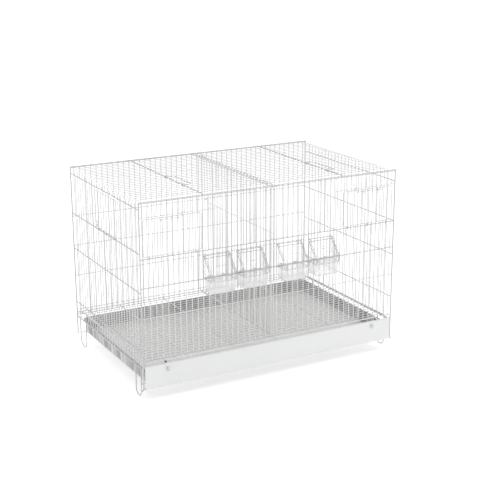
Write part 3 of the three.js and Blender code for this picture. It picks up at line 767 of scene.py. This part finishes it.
# ----------------------------------------------------------------- feeders
def box_ring(x0, x1, y0, y1, z, r, seg=4):
    pts = []
    for cx, cy, a0 in ((x1 - r, y0 + r, -90), (x1 - r, y1 - r, 0), (x0 + r, y1 - r, 90), (x0 + r, y0 + r, 180)):
        for i in range(seg + 1):
            a = math.radians(a0 + 90.0 * i / seg)
            pts.append((cx + r * math.cos(a), cy + r * math.sin(a), z))
    return pts


def plate_x(m, outline_yz, x0, x1):
    """A flat moulded wall: outline in YZ, from x0 to x1."""
    m.loft([[(x0, y, z) for y, z in outline_yz], [(x1, y, z) for y, z in outline_yz]])


for i, cx in enumerate(FEEDERS, 1):
    yb, t = YF - 2.0, 1.2
    body = "feeder_%d" % i
    m = Mesher()
    rings = []
    # outside from the bottom up, over the lip, then down inside
    for h, dy, z, r in ((24.8, 29.5, 211.0, 2.5), (26.3, 31.6, 212.2, 3.2), (26.9, 32.4, 214.6, 3.5), (27.7, 35.1, 235.4, 3.2),
                        (28.0, 36.0, 236.2, 3.2), (28.0, 36.0, 238.3, 3.2), (27.7, 35.7, 238.6, 3.0)):
        rings.append(box_ring(cx - h, cx + h, yb - dy, yb, z, r))
    for h, dy, z, r in ((26.6, 34.4, 238.4, 2.0), (26.4, 33.9, 235.0, 2.0), (25.6, 31.2, 214.8, 2.0), (24.8, 30.2, 212.6, 1.6)):
        rings.append(box_ring(cx - h, cx + h, yb - dy, yb - t, z, r))
    m.loft(rings, smooth=True)
    # raised back edge with two hooks over the rail
    m.loft([box_ring(cx - 27.4, cx + 27.4, yb - t, yb, z, 0.5, 2) for z in (238.0, 241.1)])
    for s in (-1, 1):
        hx = cx + s * 16.0
        sec = sheet_section(fold([(yb - 0.6, 238.5), (yb - 0.6, 240.6), (YF + 2.3, 240.6), (YF + 2.3, 235.0)], 0.9, 4), 1.1)
        m.loft([[(hx + dx, y, z) for y, z in sec] for dx in (-4.0, 4.0)])
    m.make("feeder_bin_%d_clear" % i, BIN, body, ["feeder_bin_%d" % i], "clear_plastic", bevel=0.3)
    m = Mesher()
    # thick moulded lip round the bin and a foot bead, greyer than the bin: painted shade on real thick rims
    lip = fillet([(cx - 27.4, yb - 1.0, 237.3), (cx - 27.4, yb - 35.4, 237.3), (cx + 27.4, yb - 35.4, 237.3), (cx + 27.4, yb - 1.0, 237.3)], 3.0, 4)
    m.tube(lip, 0.55, 6)
    foot = fillet([(cx - 25.6, yb - 1.0, 212.0), (cx - 25.6, yb - 30.8, 212.0), (cx + 25.6, yb - 30.8, 212.0), (cx + 25.6, yb - 1.0, 212.0)], 3.0, 4)
    m.tube(foot, 0.5, 6)
    m.make("feeder_bin_%d_edges" % i, LIP_PAINTED_SHADE, body, (), "clear_plastic")
    m = Mesher()
    H, zt, zs = 30.0, 285.5, 239.1
    # cheeks
    cheek = [(yb - 0.3, zs), (yb - 35.2, zs), (yb - 33.0, 250.0), (yb - 6.1, 280.0), (yb - 4.7, zt - 0.5), (yb - 0.3, zt - 0.5)]
    for s in (-1, 1):
        a, b = sorted((cx + s * (H - t), cx + s * H))
        plate_x(m, cheek, a, b)
    # window and flat top, one folded sheet
    sec = sheet_section(fold([(yb - 0.4, zt - 0.6), (yb - 4.6, zt - 0.6), (yb - 6.0, 280.0), (yb - 32.9, 250.1), (yb - 35.2, 239.2)], 1.4, 4), 1.1)
    m.loft([[(cx + dx, y, z) for y, z in sec] for dx in (-H + 1.0, -H * 0.3, H * 0.3, H - 1.0)])
    # small plain grip rib across the window
    gy, gz = yb - 19.8, 265.6
    m.loft([[(cx + dx, gy - 0.9, gz - 0.3), (cx + dx, gy - 0.1, gz - 1.1), (cx + dx, gy + 0.6, gz + 0.3), (cx + dx, gy - 0.4, gz + 0.9)]
            for dx in (-12.0, 12.0)])
    m.make("feeder_hood_%d_clear" % i, CLEAR, body, ["feeder_hood_%d" % i], "clear_plastic", bevel=0.3)
    m = Mesher()
    # thick edges: along the back of the top, over the window and down both slopes, greyer than the hood: painted shade
    # on real thick edges
    m.tube([(cx - 29.2, yb - 1.0, zt - 0.8), (cx + 29.2, yb - 1.0, zt - 0.8)], 0.6, 6)
    m.tube([(cx - 29.2, yb - 5.8, 280.6), (cx + 29.2, yb - 5.8, 280.6)], 0.6, 6)
    m.tube([(cx - 28.6, yb - 33.0, 250.2), (cx + 28.6, yb - 33.0, 250.2)], 0.6, 6)
    for s in (-1, 1):
        for dx, r in ((29.2, 0.8), (25.8, 0.55)):
            m.tube(fillet([(cx + s * dx, yb - 1.2, zt - 0.9), (cx + s * dx, yb - 4.9, zt - 1.0), (cx + s * dx, yb - 6.3, 279.9),
                           (cx + s * dx, yb - 33.0, 250.0), (cx + s * dx, yb - 35.0, 240.0)], 1.4, 3), r, 6)
    m.make("feeder_hood_%d_edges" % i, EDGE_PAINTED_SHADE, body, (), "clear_plastic")

# ------------------------------------------------------------- top handles
for s, side in ((-1, "left"), (1, "right")):
    bx, bz = s * 163.5, ZT + 2.2
    ya, yb2 = (-83.0, 1.0) if s < 0 else (-111.0, -27.0)
    m = Mesher()
    zl = 411.4
    # an eye round the bar at each end, then the bail
    core = fillet([(bx + 4.2, ya, zl), (bx + 18.1, ya, zl), (bx + 18.1, yb2, zl), (bx + 4.2, yb2, zl)], 3.5, 5)
    e1 = [(bx + 2.45 * math.cos(math.radians(a)), ya, bz + 2.45 * math.sin(math.radians(a))) for a in range(340, 59, -20)]
    e2 = [(q[0], yb2, q[2]) for q in reversed(e1)]
    m.tube(e1 + core + e2, 0.85, 8)
    m.make("top_handle_%s_wire" % side, BRIGHT, "top_handle_%s" % side, ["top_handle_%s" % side], "bright_wire")

# ------------------------------------------------------------------- stage
me = bpy.data.meshes.new("floor")
S = 14.0
n = 24
vs, fs = [], []
for j in range(n + 1):
    for i in range(n + 1):
        vs.append(((i / n - 0.5) * 2 * S, (j / n - 0.5) * 2 * S, 0.0))
for j in range(n):
    for i in range(n):
        a = j * (n + 1) + i
        fs.append((a, a + 1, a + n + 2, a + n + 1))
me.from_pydata(vs, [], fs)
floor = bpy.data.objects.new("floor", me)
bpy.context.collection.objects.link(floor)
fm, nt, b = new_mat("floor_pale")
b.inputs["Base Color"].default_value = (0.93, 0.93, 0.93, 1)
b.inputs["Roughness"].default_value = 0.9
b.inputs["Specular IOR Level"].default_value = 0.1
b.inputs["Emission Color"].default_value = (1.0, 1.0, 1.0, 1)
b.inputs["Emission Strength"].default_value = 0.35
me.materials.append(fm)

world = bpy.data.worlds.new("world")
bpy.context.scene.world = world
world.use_nodes = True
bg = world.node_tree.nodes["Background"]
bg.inputs[0].default_value = (1.0, 1.0, 1.0, 1)
bg.inputs[1].default_value = 0.60


def area(name, loc, target, size, power, shape="SQUARE"):
    l = bpy.data.lights.new(name, "AREA")
    l.shape = shape
    l.size = size
    l.energy = power
    ob = bpy.data.objects.new(name, l)
    bpy.context.collection.objects.link(ob)
    ob.location = loc
    d = Vector(target) - Vector(loc)
    ob.rotation_euler = d.to_track_quat("-Z", "Y").to_euler()
    return ob


def sun(name, az, el, strength, angle):
    l = bpy.data.lights.new(name, "SUN")
    l.energy = strength
    l.angle = math.radians(angle)
    ob = bpy.data.objects.new(name, l)
    bpy.context.collection.objects.link(ob)
    a, e = math.radians(az), math.radians(el)
    d = -Vector((math.sin(a) * math.cos(e), -math.cos(a) * math.cos(e), math.sin(e)))
    ob.rotation_euler = d.to_track_quat("-Z", "Y").to_euler()
    return ob


sun("overhead", 150, 80, 1.6, 65)
bpy.context.scene.view_settings.view_transform = "Standard"
